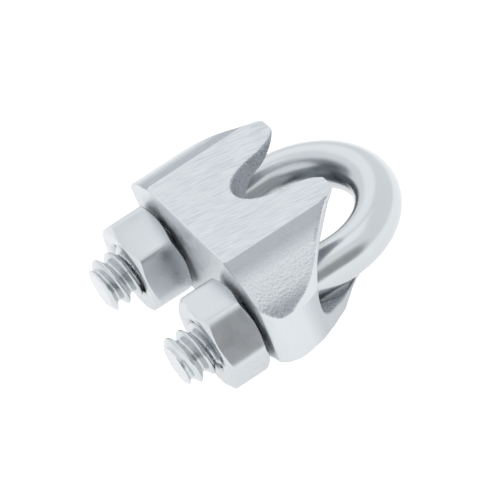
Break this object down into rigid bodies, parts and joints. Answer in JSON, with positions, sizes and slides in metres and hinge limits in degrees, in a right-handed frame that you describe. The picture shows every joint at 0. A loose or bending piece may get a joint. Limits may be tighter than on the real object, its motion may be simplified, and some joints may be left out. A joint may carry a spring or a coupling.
{
  "type": "wire rope clip",
  "caption": "Wire rope clip: cast saddle with a rope notch between four horns, a threaded U-bolt through it, and hex nuts that draw the U-bolt down onto the rope.",
  "frame": {"origin": "under the middle of the clip, in the plane of the saddle's back end face", "axes": "+Z along the rope, from the saddle's back end face to its ground front end face; +Y along the legs, from the nuts towards the bow; +X across the legs"},
  "size_m": [0.0254, 0.0264, 0.0116],
  "materials": {
    "cast_saddle": "bright zinc plate over a cast skin, end faces ground",
    "bent_rod": "bright zinc plate on smooth drawn rod",
    "left_nut": "bright zinc plate, satin",
    "right_nut": "bright zinc plate, satin"
  },
  "bodies": {
    "saddle": {"saddle": "cast_saddle"},
    "u_bolt": {"u_bolt": "bent_rod"},
    "nut_left": {"nut_left": "left_nut"},
    "nut_right": {"nut_right": "right_nut"}
  },
  "joints": [
    {"name": "u_bolt_slide", "type": "slide", "parent": "saddle", "child": "u_bolt", "axis": [0, 1, 0], "range_m": [-0.003, 0.003]},
    {"name": "nut_left_spin", "type": "hinge", "parent": "saddle", "child": "nut_left", "pos_m": [-0.0069, -0.008, 0.0049], "axis": [0, 1, 0], "range_deg": [-851, 851]},
    {"name": "nut_right_spin", "type": "hinge", "parent": "saddle", "child": "nut_right", "pos_m": [0.0069, -0.008, 0.0049], "axis": [0, 1, 0], "range_deg": [-851, 851]}
  ],
  "couplings": [
    {"joint": "nut_left_spin", "follows": "u_bolt_slide", "rad_per_m": -4947.4},
    {"joint": "nut_right_spin", "follows": "u_bolt_slide", "rad_per_m": -4947.4}
  ]
}
